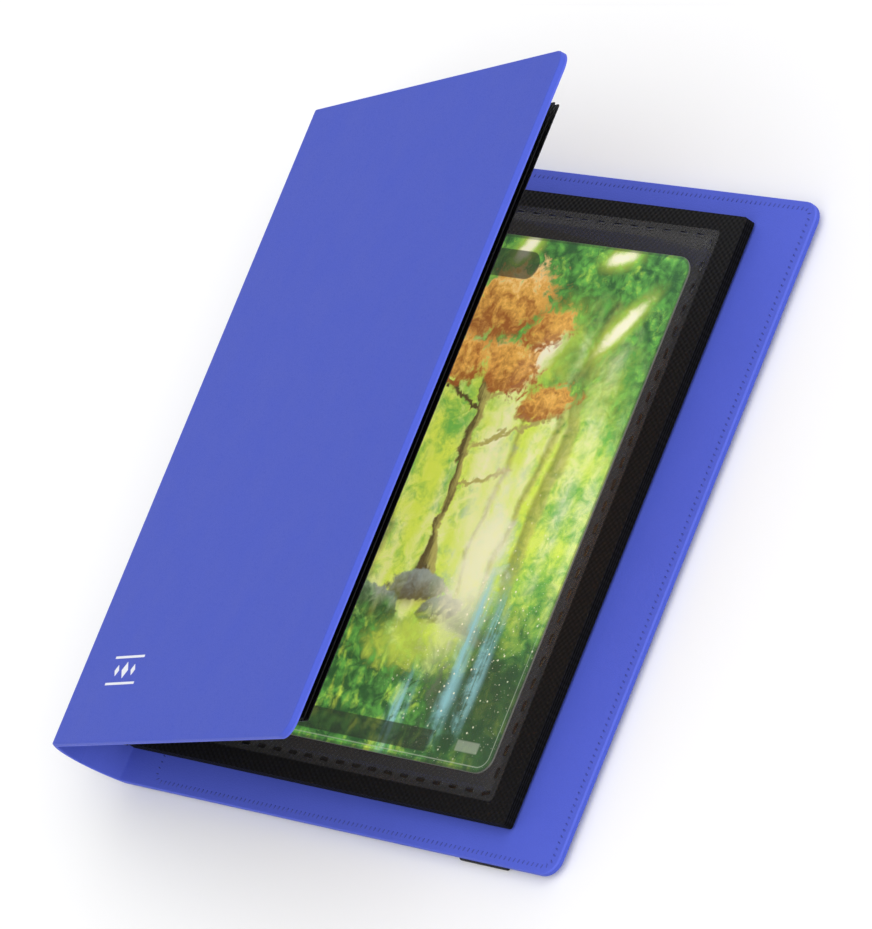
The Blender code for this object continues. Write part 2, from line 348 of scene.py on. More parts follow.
def cardStock(name, tone):
    made, wire = newMaterial(name, Specular_IOR_Level=0.3)
    point = objectPoint(wire)
    layers = noise(point, 1 / (0.3 * mm), 3.0)
    base = mixColours(wire, colour(*(part * 0.8 for part in tone)), colour(*tone), layers)
    feed(made, Base_Color=base, Roughness=0.6 + 0.2 * layers, Normal=bump(layers, 0.3, 0.03))
    return made


cardSize = (nodeSize("right_trading_card").x, nodeSize("right_trading_card").y)
cardCorner = 3.0

# The "line" colour paints a blank number panel and also a painted highlight along the card's lower edge.
greenArt = {
    "shade": (0.026, 0.120, 0.030), "leaf": (0.150, 0.520, 0.080), "sun": (0.70, 0.90, 0.10),
    "glow": (1.0, 1.0, 0.72), "bark": (0.090, 0.075, 0.022), "barkLight": (0.46, 0.45, 0.12),
    "crown": (0.98, 0.56, 0.11), "crownDark": (0.36, 0.11, 0.02), "stone": (0.32, 0.40, 0.38),
    "water": (0.32, 0.66, 0.70), "bar": (0.020, 0.036, 0.020), "line": (0.52, 0.58, 0.46),
}
redArt = {
    "shade": (0.050, 0.016, 0.010), "leaf": (0.300, 0.090, 0.034), "sun": (0.80, 0.32, 0.11),
    "glow": (1.0, 0.76, 0.48), "bark": (0.035, 0.020, 0.014), "barkLight": (0.22, 0.12, 0.06),
    "crown": (0.62, 0.22, 0.06), "crownDark": (0.18, 0.05, 0.018), "stone": (0.22, 0.18, 0.17),
    "water": (0.55, 0.42, 0.30), "bar": (0.016, 0.013, 0.011), "line": (0.34, 0.26, 0.20),
}


def rim(x, y):  # distance inside the card's rounded edge is negative
    half = [size / 2 for size in cardSize]
    across = abs(x - half[0]) - (half[0] - cardCorner)
    along = abs(y - half[1]) - (half[1] - cardCorner)
    outX, outY = across.maths("MAXIMUM", across, 0.0), across.maths("MAXIMUM", along, 0.0)
    inside = across.maths("MINIMUM", across.maths("MAXIMUM", across, along), 0.0)
    return across.maths("SQRT", outX * outX + outY * outY) + inside - cardCorner


def oval(x, y, place, size, turn=0.0):  # distance from a turned oval's centre, 1 at its edge
    along, across = math.cos(math.radians(turn)), math.sin(math.radians(turn))
    right, up = x - place[0], y - place[1]
    first = (right * along + up * across) / size[0]
    second = (up * along - right * across) / size[1]
    return x.maths("SQRT", first * first + second * second)


class Painting:  # a picture in layers, from far to near, on a card's flat map
    def __init__(self, wire, art, mirrored):
        self.wire = wire
        self.tint = {part: colour(*value) for part, value in art.items()}
        self.point = flatPoint(wire, (cardSize[0], 0, 0), (-1, 1, 1)) if mirrored else flatPoint(wire)
        self.x, self.y = axes(self.point)
        self.wide = noise(self.point, 0.045, 3.0) - 0.5
        self.middle = noise(self.point, 0.15, 4.0, 0.6, 0.6) - 0.5
        self.small = noise(self.point, 0.42, 4.0, 0.6, 0.8) - 0.5
        self.tiny = noise(self.point, 1.1, 3.0, 0.6, 0.6) - 0.5
        self.leaves = cells(self.point, 0.62)
        self.picture = self.tint["shade"]

    def paint(self, tone, mask):
        tone = self.tint[tone] if isinstance(tone, str) else tone
        self.picture = mixColours(self.wire, self.picture, tone, mask)

    def shades(self, dark, light, amount):
        return mixColours(self.wire, self.tint[dark], self.tint[light], amount)

    def streaked(self, across, along, turn=0.0, detail=3.0):  # noise drawn out one way
        return noise(flatPoint(self.wire, scale=(across, along, 1), turn=turn), 1.0, detail)

    def spot(self, place, size, turn, ragged, soft):
        return 1 - smoothStep(oval(self.x, self.y, place, size, turn) + ragged, 1 - soft, 1 + soft)


def paintGlade(card):  # sunlit leaves, brightest in the middle, with slanting shafts of light
    glade = card.spot((39, 45), (25, 34), -12, card.wide * 1.2 + card.middle * 0.9, 0.8)
    clumps = cells(card.point, 0.2)
    light = 0.36 + glade * 0.72 + card.middle * 1.5 + card.small * 0.8 - clumps * 0.3
    card.paint("leaf", smoothStep(light, -0.05, 0.40))
    card.paint("sun", smoothStep(light + card.tiny * 0.4, 0.42, 0.98))
    shafts = card.streaked(0.13, 0.022, 28)
    card.paint("glow", glade * smoothStep(shafts + card.small * 0.4, 0.40, 0.78) * 0.85)
    card.paint("shade", smoothStep(light + card.leaves * 0.5 + card.tiny * 0.4, 0.20, -0.1) * 0.6)


def paintTrunks(card):  # slender trunks far off in the light
    x, y = card.x, card.y
    trunks = ((10, 2.4, 0.03), (55, 1.5, -0.08), (46, 0.7, 0.03), (41.5, 0.5, -0.02), (20, 0.9, -0.03))
    for place, width, lean in trunks:
        side = x - place - y * lean + card.wide * 9.0 + card.middle * 2.2
        trunk = 1 - smoothStep(abs(side), width - 0.6, width + 0.6)
        bark = card.shades("bark", "barkLight", smoothStep(side + card.small * 3, -width, width))
        card.paint(bark, trunk * smoothStep(y + card.middle * 20, 20, 34) * 0.6)


def paintRoof(card):  # foliage overhead, with gaps that the sun comes through
    x, y = card.x, card.y
    roof = smoothStep(y + x * 0.35 + card.wide * 40 + card.middle * 40 + card.small * 10, 72, 92)
    tufts = smoothStep(card.small * 1.8 + card.middle * 1.2 - card.leaves * 0.5 + 0.6, 0.0, 0.9)
    card.paint(card.shades("shade", "leaf", tufts), roof)
    card.paint("sun", roof * smoothStep(card.tiny + card.middle * 1.6 + card.small, 0.12, 0.75) * 0.7)
    gaps = (((53.5, 75), (4.4, 1.1), 55), ((47.5, 86.3), (2.8, 1.0), 15), ((26, 86), (3.0, 1.2), 60),
            ((38, 68), (6.0, 2.4), 62))
    for place, size, turn in gaps:
        halo = card.spot(place, (size[0] * 1.3, size[1] * 1.8), turn, card.small + card.middle, 0.9)
        card.paint("sun", halo * 0.75)
        card.paint("glow", card.spot(place, size, turn, card.small * 1.3 + card.middle, 0.6))


def paintTree(card):  # an autumn tree
    x, y = card.x, card.y
    sway = x - 30.5 + (y - 45) * 0.05 + card.middle * 6.0 + card.wide * 5.0
    stem = 1.0 + smoothStep(y, 40, 24) * 2.4 + card.small * 0.9
    trunk = (1 - smoothStep(abs(sway) - stem, -0.3, 0.3)) * between(y, 25, 70, 2.0)
    furrows = card.streaked(1.1, 0.14, 0, 3.0)
    bark = card.shades("bark", "barkLight", smoothStep(furrows + sway * 0.2, 0.30, 0.80))
    card.paint(bark, trunk)
    for root, reachTo, slope in ((52, 47, 0.45), (57, 18, 0.5), (45, 42, 0.35), (60, 38, 0.8)):
        rise = y - root - abs(x - 31) * slope + card.small * 4.0 + card.middle * 4.0
        low, high = min(31, reachTo), max(31, reachTo)
        card.paint(bark, (1 - smoothStep(abs(rise), 0.2, 0.7)) * between(x, low, high, 0.8))
    boughs = (((26, 76), (10.0, 6.6), 20), ((32, 66), (8.0, 4.4), -10), ((44, 61), (6.0, 2.8), 15),
              ((20, 66), (6.0, 4.4), 0), ((38, 73), (5.6, 2.8), 25))
    for place, size, turn in boughs:
        ragged = card.small * 1.9 + card.middle * 1.2 + card.tiny * 0.7
        crown = card.spot(place, size, turn, ragged, 0.22)
        shades = smoothStep(card.tiny * 0.9 + card.small * 1.8 + (y - place[1]) * 0.07 + 0.5, 0.0, 1.0)
        card.paint(card.shades("crownDark", "crown", shades), crown * 0.95)
        lit = smoothStep(card.small + card.tiny * 0.6 + (y - place[1]) * 0.06, 0.15, 0.55)
        card.paint("glow", crown * lit * 0.45)


def paintGround(card):  # stones and bushes at the tree's foot, undergrowth, and a bright fall of water
    x, y = card.x, card.y
    rocks = (((31, 27.5), (6.5, 2.6), 8), ((24, 24), (5.5, 3.0), -12), ((38.5, 24.5), (4.6, 2.2), 14))
    for place, size, turn in rocks:
        rock = card.spot(place, size, turn, card.small * 0.9 + card.middle * 1.1, 0.10)
        shades = smoothStep((y - place[1]) * 0.28 + card.small * 1.8 + card.tiny * 0.8, -0.8, 1.1)
        card.paint(card.shades("bark", "stone", shades), rock * 0.9)
    edge = y - abs(x - 42) * 0.35 + card.middle * 26 + card.small * 8
    under = 1 - smoothStep(edge, 12, 23)
    tufts = smoothStep(card.small * 2.0 + card.middle - card.leaves * 0.5 + 0.62, 0.0, 0.9)
    card.paint(card.shades("shade", "leaf", tufts), under)
    blades = card.streaked(0.55, 0.16, 24) - 0.5
    lit = smoothStep(card.small + card.middle * 1.5 + blades * 1.5, 0.02, 0.62)
    card.paint("sun", under * lit * 0.9)
    ragged = card.small * 2.6 + card.middle * 2.4
    card.paint("sun", card.spot((37, 19), (9, 3.4), 10, ragged, 0.6) * 0.7)
    ragged = card.small * 2.2 + card.middle * 2.6
    card.paint("glow", card.spot((43, 32), (4.5, 13), 8, ragged, 0.9) * 0.8)
    dusk = card.spot((57, 10), (13, 15), 20, card.middle * 1.4 + card.wide, 0.7)
    card.paint("shade", dusk * 0.8)
    card.paint("bar", dusk * dusk * 0.55)
    fall = card.streaked(0.75, 0.04)
    for low, high, foot, top in ((46.5, 49.0, 6, 31), (51, 53.5, 8, 27), (37, 40, 2, 13)):
        across = between(x + card.wide * 4 + card.small, low, high, 1.3)
        column = across * between(y + card.small * 9, foot, top, 5.0)
        card.paint("water", column * smoothStep(fall + card.small * 0.5, 0.30, 0.62) * 0.85)
    for size, spread in ((0.6, 0.14), (1.0, 0.12), (1.7, 0.12)):
        spray = cells(card.point, size)
        area = card.spot((49, 21), (13, 19), 0, card.small * 1.5, 0.8)
        card.paint("glow", (1 - smoothStep(spray, spread * 0.5, spread)) * area)


def paintFrame(card):  # blank title and foot bars, and a thin light line inside the lower edge: a painted highlight for the card's lit edge
    x, y = card.x, card.y
    edge = rim(x, y)
    title = between(y, 80.7, 85.5, 0.1) * between(x, 3.0, 27.6, 0.1)
    title = x.maths("MAXIMUM", title, card.spot((27.6, 83.1), (2.4, 2.4), 0, 0.0, 0.05))
    foot = between(y, 1.7, 5.4, 0.1) * between(x, 3.0, 48.0, 0.5)
    card.paint("bar", x.maths("MAXIMUM", title, foot) * 0.80)
    card.paint("line", between(y, 2.9, 4.7, 0.15) * between(x, 54.0, 59.0, 0.2) * 0.4)
    card.paint("bar", smoothStep(edge, -0.55, -0.35) * 0.5)
    # Painted highlight: a thin light line inside the card's edge, strongest at the bottom and fading out
    # upwards, standing for the lit edge of the card.
    card.paint("line", between(edge, -1.02, -0.86, 0.06) * smoothStep(y, 40, 8) * 0.5)


def glowingCardFace(name, art, mirrored):
    # The card face also glows with its own picture (emission): painted light that brightens the card under
    # the pocket film.
    made, wire = newMaterial(name, Specular_IOR_Level=0.35, Emission_Strength=0.52)
    card = Painting(wire, art, mirrored)
    for layer in (paintGlade, paintTrunks, paintRoof, paintTree, paintGround, paintFrame):
        layer(card)
    roughness = 0.40 + 0.12 * card.small
    feed(made, Base_Color=card.picture, Emission_Color=card.picture, Roughness=roughness,
         Normal=bump(card.tiny, 0.12, 0.02))
    return made


def cardBack():
    made, wire = newMaterial("cardBack", Specular_IOR_Level=0.35)
    x, y = axes(flatPoint(wire))
    lattice = abs(x.maths("SINE", (x + y) * 0.9)) * abs(x.maths("SINE", (x - y) * 0.9))
    grain = noise(flatPoint(wire), 0.8, 3.0)
    dark, light, border = colour(0.05, 0.035, 0.022), colour(0.16, 0.10, 0.05), colour(0.02, 0.016, 0.012)
    base = mixColours(wire, dark, light, lattice * 0.7 + grain * 0.3)
    base = mixColours(wire, base, border, smoothStep(rim(x, y), -2.8, -2.6))
    feed(made, Base_Color=base, Roughness=0.4 + 0.1 * grain, Normal=bump(grain, 0.1, 0.02))
    return made


# Darkened cover copy and lightened lining copy of one leatherette: painted shade and painted light.
darkenedCoverLeather = leatherette("coverLeatherette", leather["outer"])
lightenedLiningLeather = leatherette("liningLeatherette", leather["inner"])
seamThread = threadMaterial()
greyBoard = boardMaterial()
wovenSheet = wovenPlastic()
pocketFilm = clearFilm("pocketFilm", pocket)
# Film for the weld dents, painted dark as shade.
weldShadeFilm = clearFilm("weldShadeFilm", weldDentShade)
wovenElastic = elasticMaterial()
sewnElastic = sewnElasticMaterial()
bindingRubber = bindingMaterial()
whitePrint = printMaterial()
cardEdge = cardStock("cardEdge", (0.24, 0.25, 0.22))
cardReverse = cardBack()
print("materials made")


# Making pieces

def smooth(share):
    return share * share * (3 - 2 * share)


def newPiece(name, shape, materials, place, rides=None, stands=(), sharp=40):
    flat = shape.loops.layers.uv.new("flat")
    for face in shape.faces:
        for loop in face.loops:
            loop[flat].uv = loop.vert.co.xy
    bmesh.ops.transform(shape, matrix=place, verts=shape.verts)
    bmesh.ops.recalc_face_normals(shape, faces=shape.faces)
    mesh = bpy.data.meshes.new(name)
    shape.to_mesh(mesh)
    shape.free()
    for material in materials:
        mesh.materials.append(material)
    mesh.shade_smooth()
    mesh.set_sharp_from_angle(angle=math.radians(sharp))
    piece = bpy.data.objects.new(name, mesh)
    bpy.context.scene.collection.objects.link(piece)
    weighted = piece.modifiers.new("weighted", "WEIGHTED_NORMAL")
    weighted.keep_sharp = True
    if rides:
        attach(piece, rides)
    if stands:
        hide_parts(*stands)
    return piece


def plate(size, corner, low, high, place=(0, 0), steps=6):  # a flat plate with round corners
    shape = bmesh.new()
    bmesh.ops.create_grid(shape, x_segments=1, y_segments=1, size=0.5)
    bmesh.ops.scale(shape, vec=(*size, 1), verts=shape.verts)
    middle = (place[0] + size[0] / 2, place[1] + size[1] / 2, low)
    bmesh.ops.translate(shape, vec=middle, verts=shape.verts)
    bmesh.ops.bevel(shape, geom=shape.verts[:], offset=corner, offset_type="OFFSET", segments=steps,
                    profile=0.5, affect="VERTICES", material=-1)
    raised = bmesh.ops.extrude_face_region(shape, geom=shape.faces[:])["geom"]
    moved = [item for item in raised if isinstance(item, bmesh.types.BMVert)]
    bmesh.ops.translate(shape, vec=(0, 0, high - low), verts=moved)
    bmesh.ops.recalc_face_normals(shape, faces=shape.faces)
    return shape


def softened(shape, edges, offset, segments=3):
    bmesh.ops.bevel(shape, geom=edges, offset=offset, offset_type="OFFSET", segments=segments,
                    profile=0.5, affect="EDGES", material=-1)
    return shape


def flatRims(shape):  # the edges round a plate's top and bottom
    def level(face):
        return abs(face.normal.z) > 0.99
    return [edge for edge in shape.edges if sum(level(face) for face in edge.link_faces) == 1]


# Covers and spine

cover = {"cornerRadius": 3.0, "bow": 2.6, "outerRim": 0.28, "liningRim": 0.2, "board": 2.0, "bend": 1.3,
         "bendSlope": 30, "skinTurn": 2.0, "middleTurn": 1.2, "liningTurn": 0.8}
coverWidth = fromCrease("back_cover_lining", 1).x
coverHeight = nodeSize("back_cover_lining").y
coverThickness = -fromCrease("back_cover_skin", 0).z
sheetThickness = nodeSize("back_cover_lining").z
layerGap = 0.02
spineWidth = (frontCrease - backCrease).length / mm
bowRadius = (spineWidth ** 2 / 4 + cover["bow"] ** 2) / (2 * cover["bow"])


def bowCentre(lean):  # seen from a crease, with that cover's outer side up
    turn = math.radians(lean)
    along = Vector((-math.sin(turn), 0, -math.cos(turn)))
    inwards = Vector((math.cos(turn), 0, -math.sin(turn)))
    return along * spineWidth / 2 + inwards * (bowRadius - cover["bow"])


def layerLine(shape, lean, depth, spineDepth, turnRadius):  # fore edge to the middle of the spine
    centre = bowCentre(lean)
    rise = depth - turnRadius - centre.z
    run = math.sqrt((bowRadius + spineDepth - turnRadius) ** 2 - rise ** 2)
    turnCentre = Vector((centre.x - run, 0, depth - turnRadius))
    places = (coverWidth, turnCentre.x + 0.8, turnCentre.x + 0.4, turnCentre.x)
    points = [shape.verts.new((x, 0, depth)) for x in places]
    for pair in zip(points, points[1:]):
        shape.edges.new(pair)
    turn = math.atan2(run, rise)
    axis = (0, -1, 0)
    crease = bmesh.ops.spin(shape, geom=[points[-1]], cent=turnCentre, axis=axis, angle=turn, steps=5)
    rest = math.pi / 2 - math.radians(lean) - turn
    bow = bmesh.ops.spin(shape, geom=crease["geom_last"], cent=centre, axis=axis, angle=rest, steps=16)
    return points[0], bow["geom_last"][0]


def coverSheet(lean, outer, inner):  # one sheet over a cover, round its crease and half the spine
    shape = bmesh.new()
    ends = [layerLine(shape, lean, *line) for line in (outer, inner)]
    for pair in zip(*ends):
        shape.edges.new(pair)
    bmesh.ops.contextual_create(shape, geom=shape.edges[:])
    side = bmesh.ops.extrude_face_region(shape, geom=shape.faces[:])["geom"]
    moved = [item for item in side if isinstance(item, bmesh.types.BMVert)]
    bmesh.ops.translate(shape, vec=(0, coverHeight, 0), verts=moved)
    bmesh.ops.recalc_face_normals(shape, faces=shape.faces)
    corners = [edge for edge in shape.edges
               if all(abs(vert.co.x - coverWidth) < 1e-4 for vert in edge.verts)
               and abs(edge.verts[0].co.y - edge.verts[1].co.y) < 1e-4]
    return softened(shape, corners, cover["cornerRadius"], 8)


def facing(face, centre):  # 1 on the outer side, -1 on the inner side, 0 on the rims, None on the cut
    if abs(face.normal.y) > 0.01 or face.normal.x > 0.99:
        return 0
    reach = face.normal.dot(face.calc_center_median() - centre)
    return None if abs(reach) < 2 else math.copysign(1, reach)


def rimEdges(shape, centre, side):
    kinds = {face: facing(face, centre) for face in shape.faces}
    return [edge for edge in shape.edges
            if {kinds[face] for face in edge.link_faces} == {0, side}]


def skinShape(lean):
    outer = (coverThickness, 2 * sheetThickness + layerGap, cover["skinTurn"])
    inner = (sheetThickness + layerGap, sheetThickness + layerGap, cover["middleTurn"])
    shape = coverSheet(lean, outer, inner)
    under = min(shape.faces, key=lambda face: (round(face.normal.z, 3), -face.calc_area()))
    bmesh.ops.inset_region(shape, faces=[under], thickness=cover["board"], use_even_offset=True)
    sink = coverThickness - 2 * sheetThickness - layerGap
    bmesh.ops.inset_region(shape, faces=[under], thickness=0.02, depth=-sink, use_even_offset=True)
    return softened(shape, rimEdges(shape, bowCentre(lean), 1), cover["outerRim"], 4)


def liningShape(lean):
    outer = (sheetThickness, sheetThickness, cover["middleTurn"])
    shape = coverSheet(lean, outer, (0, 0, cover["liningTurn"]))
    return softened(shape, rimEdges(shape, bowCentre(lean), -1), cover["liningRim"], 3)


def wrapHalf(name, shape, material, place, stands):
    piece = newPiece(name, shape, [material], place, stands=stands)
    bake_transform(piece)
    return piece


def cutBoxes(piece, boxes):  # takes boxes out of a piece, each given by its corners in metres
    tool = bmesh.new()
    for low, high in boxes:
        made = bmesh.ops.create_cube(tool, size=1.0)["verts"]
        bmesh.ops.scale(tool, vec=high - low, verts=made)
        bmesh.ops.translate(tool, vec=(low + high) / 2, verts=made)
    mesh = bpy.data.meshes.new("cutter")
    tool.to_mesh(mesh)
    tool.free()
    cutter = bpy.data.objects.new("cutter", mesh)
    bpy.context.scene.collection.objects.link(cutter)
    cut = piece.modifiers.new("cut", "BOOLEAN")
    cut.object = cutter
    cut.operation = "DIFFERENCE"
    piece.modifiers.move(len(piece.modifiers) - 1, 0)
    bpy.context.view_layer.update()
    weighted = piece.modifiers["weighted"]
    weighted.show_viewport = False
    done = bpy.data.meshes.new_from_object(piece.evaluated_get(bpy.context.evaluated_depsgraph_get()))
    weighted.show_viewport = True
    piece.modifiers.remove(cut)
    piece.data = done
    bpy.data.objects.remove(cutter)


slit = {"from": 3.0, "to": 3.8, "spare": 0.3, "outer": 3.0, "inner": 0.6}
strapLow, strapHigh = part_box("elastic_strap")

skinBack = newPiece("back_cover_wrap", skinShape(spineLean), [darkenedCoverLeather], backPlace,
                    stands=("back_cover_skin",))
slitBoxes = []
for near, far in ((slit["from"], slit["to"]), (coverHeight - slit["to"], coverHeight - slit["from"])):
    low = Vector((strapLow.x - slit["spare"] * mm, tailY + near * mm,
                  backCrease.z - slit["outer"] * mm))
    high = Vector((strapHigh.x + slit["spare"] * mm, tailY + far * mm,
                   backCrease.z - slit["inner"] * mm))
    slitBoxes.append((low, high))
cutBoxes(skinBack, slitBoxes)
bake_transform(skinBack)
wrapHalf("front_cover_wrap", skinShape(frontFold), darkenedCoverLeather, frontPlace,
         ("front_cover_skin", "spine_skin"))
wrapHalf("back_lining_wrap", liningShape(spineLean), lightenedLiningLeather, backPlace,
         ("back_cover_lining",))
wrapHalf("front_lining_wrap", liningShape(frontFold), lightenedLiningLeather, frontPlace,
         ("front_cover_lining", "spine_lining"))
print("covers and spine wrapped")


# Seams

seam = {"pitch": 1.03, "length": 0.86, "width": 0.30, "height": 0.15, "slant": 67, "inset": 1.25,
        "fromCrease": 8.0, "corner": 1.6}


def rimPoint(travel, low, high, corner):  # a point and heading along a rectangle with round corners
    here = Vector((low[0] + corner, low[1], 0))
    heading = 0.0
    sides = (high[0] - low[0] - 2 * corner, high[1] - low[1] - 2 * corner) * 2
    for run in sides:
        ahead = Vector((math.cos(heading), math.sin(heading), 0))
        if travel <= run:
            return here + ahead * travel, heading
        here, travel = here + ahead * run, travel - run
        bend = min(travel, corner * math.pi / 2) / corner
        left = Vector((-ahead.y, ahead.x, 0))
        here = here + left * corner * (1 - math.cos(bend)) + ahead * corner * math.sin(bend)
        heading += bend
        if travel <= corner * math.pi / 2:
            return here, heading
        travel -= corner * math.pi / 2
    return here, heading


def rimLength(low, high, corner):
    return 2 * (high[0] - low[0] + high[1] - low[1]) - 8 * corner + 2 * math.pi * corner


def stitchedSeam(name, place, body, node):
    shape = bmesh.new()
    low = (seam["fromCrease"], seam["inset"])
    high = (coverWidth - seam["inset"], coverHeight - seam["inset"])
    length = rimLength(low, high, seam["corner"])
    count = round(length / seam["pitch"])
    half = Matrix.Diagonal((seam["length"] / 2, seam["width"] / 2, seam["height"] / 2, 1))
    for index in range(count):
        point, heading = rimPoint(index * length / count, low, high, seam["corner"])
        turned = Matrix.Rotation(heading + math.radians(seam["slant"]), 4, "Z")
        there = Matrix.Translation(point) @ turned @ half
        bmesh.ops.create_icosphere(shape, subdivisions=1, radius=1.0, matrix=there)
    newPiece(name, shape, [seamThread], place, body, (node,), sharp=180)


stitchedSeam("back_seam_stitches", backPlace, "back_cover", "back_lining_stitching")
stitchedSeam("front_seam_stitches", frontPlace, "front_cover", "front_lining_stitching")
print("seams stitched")


# Emblem printed on the front cover: three diamonds between two rules

emblem = {"centre": (20.7, 12.5), "width": 13.0, "height": 4.6, "diamond": 1.25, "rule": 0.42,
          "rise": 0.03, "gap": 0.004}


def emblemShape():
    shape = bmesh.new()
    outer = coverThickness + emblem["gap"]

    def bar(centre, size, turn=0.0):
        start = set(shape.verts)
        bmesh.ops.create_cube(shape, size=1.0)
        made = [vert for vert in shape.verts if vert not in start]
        bmesh.ops.scale(shape, vec=(*size, emblem["rise"]), verts=made)
        bmesh.ops.rotate(shape, cent=(0, 0, 0), matrix=Matrix.Rotation(turn, 3, "Z"), verts=made)
        bmesh.ops.translate(shape, vec=(*centre, outer + emblem["rise"] / 2), verts=made)

    x, y = emblem["centre"]
    for side in (-1, 1):
        bar((x, y + side * emblem["height"] / 2), (emblem["width"], emblem["rule"]))
        bar((x + side * emblem["width"] * 0.28, y), (emblem["diamond"] * 1.1,) * 2, math.pi / 4)
    bar((x, y), (emblem["diamond"] * 1.6,) * 2, math.pi / 4)
    return shape


newPiece("front_cover_emblem", emblemShape(), [whitePrint], frontPlace, "front_cover")
print("emblem printed")


# Pages

page = {"corner": 0.5, "rim": 0.04, "filmCorner": 0.9, "rootOverlap": 0.3, "weld": 1.0, "slope": 1.6,
        "gap": 0.02, "filmThickness": 0.06, "cardRim": 0.05}
pageCount = sum(name.startswith("page_") and name.endswith("_sheet") for name in frame["nodes"])
rightCount = pageCount // 2
pageSize = nodeSize("page_01_sheet")
pageTail = fromCrease("page_01_sheet", 0).y
filmLow = (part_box("page_01_front_film")[0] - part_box("page_01_sheet")[0]) / mm
filmSize = nodeSize("page_01_front_film")
cardLow = (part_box("right_trading_card")[0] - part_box(f"page_{rightCount:02d}_sheet")[0]) / mm
cardThickness = nodeSize("right_trading_card").z
pocketDepth = nodeSize(f"page_{rightCount:02d}_front_film").z - page["filmThickness"]
sheetTop = pageSize.z / 2

dash = {"length": 1.9, "width": 0.8, "pitch": 3.75, "inset": 1.15, "rise": 0.07, "lip": 0.13,
        "dip": 0.8, "gap": 0.004}


def pagePlace(number, side=1):
    joint = next(name for name in joints if name.startswith(f"page_{number:02d}_"))
    return placing(jointPlace(joint), 0 if number <= rightCount else coverAngle, side)


def sheetShape():
    overlap = page["rootOverlap"]
    size = (pageSize.x + overlap, pageSize.y)
    shape = plate(size, page["corner"], -sheetTop, sheetTop, (-overlap, pageTail), 4)
    return softened(shape, flatRims(shape), page["rim"], 2)


def filmRing(shape, low, size, inset, corner, level):  # a level face with round corners
    before = set(shape.verts)
    bmesh.ops.create_grid(shape, x_segments=1, y_segments=1, size=0.5)
    made = [vert for vert in shape.verts if vert not in before]
    bmesh.ops.scale(shape, vec=(size.x - 2 * inset, size.y - 2 * inset, 1), verts=made)
    bmesh.ops.translate(shape, vec=(low.x + size.x / 2, low.y + size.y / 2, level), verts=made)
    bmesh.ops.bevel(shape, geom=made, offset=corner, offset_type="OFFSET", segments=6, profile=0.5,
                    affect="VERTICES", material=-1)
    return next(face for face in shape.faces if len(face.verts) > 4 and not before & set(face.verts))


def filmShape(loaded):  # flat where it's welded, and raised over a card
    shape = bmesh.new()
    low = Vector((filmLow.x, pageTail + filmLow.y))
    size = Vector((filmSize.x, filmSize.y))
    base = sheetTop + page["gap"]
    slope = [(0.0, page["filmCorner"], 0.0)]
    if loaded:
        for step in range(6):
            inset = page["weld"] + page["slope"] * step / 5
            slope.append((inset, 0.5 + 0.1 * step, pocketDepth * smooth(step / 5)))
    under = [(inset, corner, base + rise) for inset, corner, rise in reversed(slope)]
    over = [(inset, corner, base + rise + page["filmThickness"]) for inset, corner, rise in slope]
    last = None
    for index, ring in enumerate(under + over):
        face = filmRing(shape, low, size, *ring)
        edges = face.edges[:]
        if 0 < index < len(under + over) - 1:
            bmesh.ops.delete(shape, geom=[face], context="FACES_ONLY")
        if last:
            bmesh.ops.bridge_loops(shape, edges=last + edges)
        last = edges
    return shape


def dashShape():  # welded dents all round a pocket, each a small dish with round ends
    shape = bmesh.new()
    base = sheetTop + page["gap"] + page["filmThickness"] + dash["gap"]
    low = (filmLow.x + dash["inset"], pageTail + filmLow.y + dash["inset"])
    high = (filmLow.x + filmSize.x - dash["inset"], pageTail + filmLow.y + filmSize.y - dash["inset"])
    length = rimLength(low, high, page["filmCorner"])
    count = round(length / dash["pitch"])
    for index in range(count):
        point, heading = rimPoint(index * length / count, low, high, page["filmCorner"])
        before = set(shape.verts)
        outline = bmesh.ops.create_circle(shape, segments=10, radius=dash["width"] / 2, cap_ends=True)
        top = outline["verts"]
        for vert in top:
            vert.co.x += math.copysign((dash["length"] - dash["width"]) / 2, vert.co.x)
        lid = top[0].link_faces[0]
        bmesh.ops.extrude_face_region(shape, geom=[lid], use_keep_orig=True)
        bmesh.ops.translate(shape, vec=(0, 0, dash["rise"]), verts=top)
        bmesh.ops.inset_region(shape, faces=[lid], thickness=dash["lip"], use_even_offset=True)
        bmesh.ops.translate(shape, vec=(0, 0, -dash["rise"] * dash["dip"]), verts=lid.verts[:])
        dent = [vert for vert in shape.verts if vert not in before]
        place = Matrix.Translation(point + Vector((0, 0, base))) @ Matrix.Rotation(heading, 4, "Z")
        bmesh.ops.transform(shape, matrix=place, verts=dent)
    return shape


def cardShape():
    base = sheetTop + page["gap"]
    shape = plate(cardSize, cardCorner, base, base + cardThickness)
    softened(shape, flatRims(shape), page["cardRim"], 2)
    for face in shape.faces:  # face, back and edge
        face.material_index = 2 if abs(face.normal.z) < 0.99 else (0 if face.normal.z > 0 else 1)
    return shape


for number in range(1, pageCount + 1):
    reader = 1 if number <= rightCount else -1
    body = f"page_{number:02d}"
    loaded = number in (rightCount, rightCount + 1)
    newPiece(f"{body}_woven_sheet", sheetShape(), [wovenSheet], pagePlace(number), body,
             (f"{body}_sheet",))
    newPiece(f"{body}_reader_film", filmShape(loaded), [pocketFilm], pagePlace(number, reader), body,
             (f"{body}_front_film",))
    newPiece(f"{body}_rear_film", filmShape(False), [pocketFilm], pagePlace(number, -reader), body,
             (f"{body}_back_film",))
    newPiece(f"{body}_weld_dashes", dashShape(), [weldShadeFilm], pagePlace(number, reader), body,
             sharp=180)
print("pages made:", pageCount)

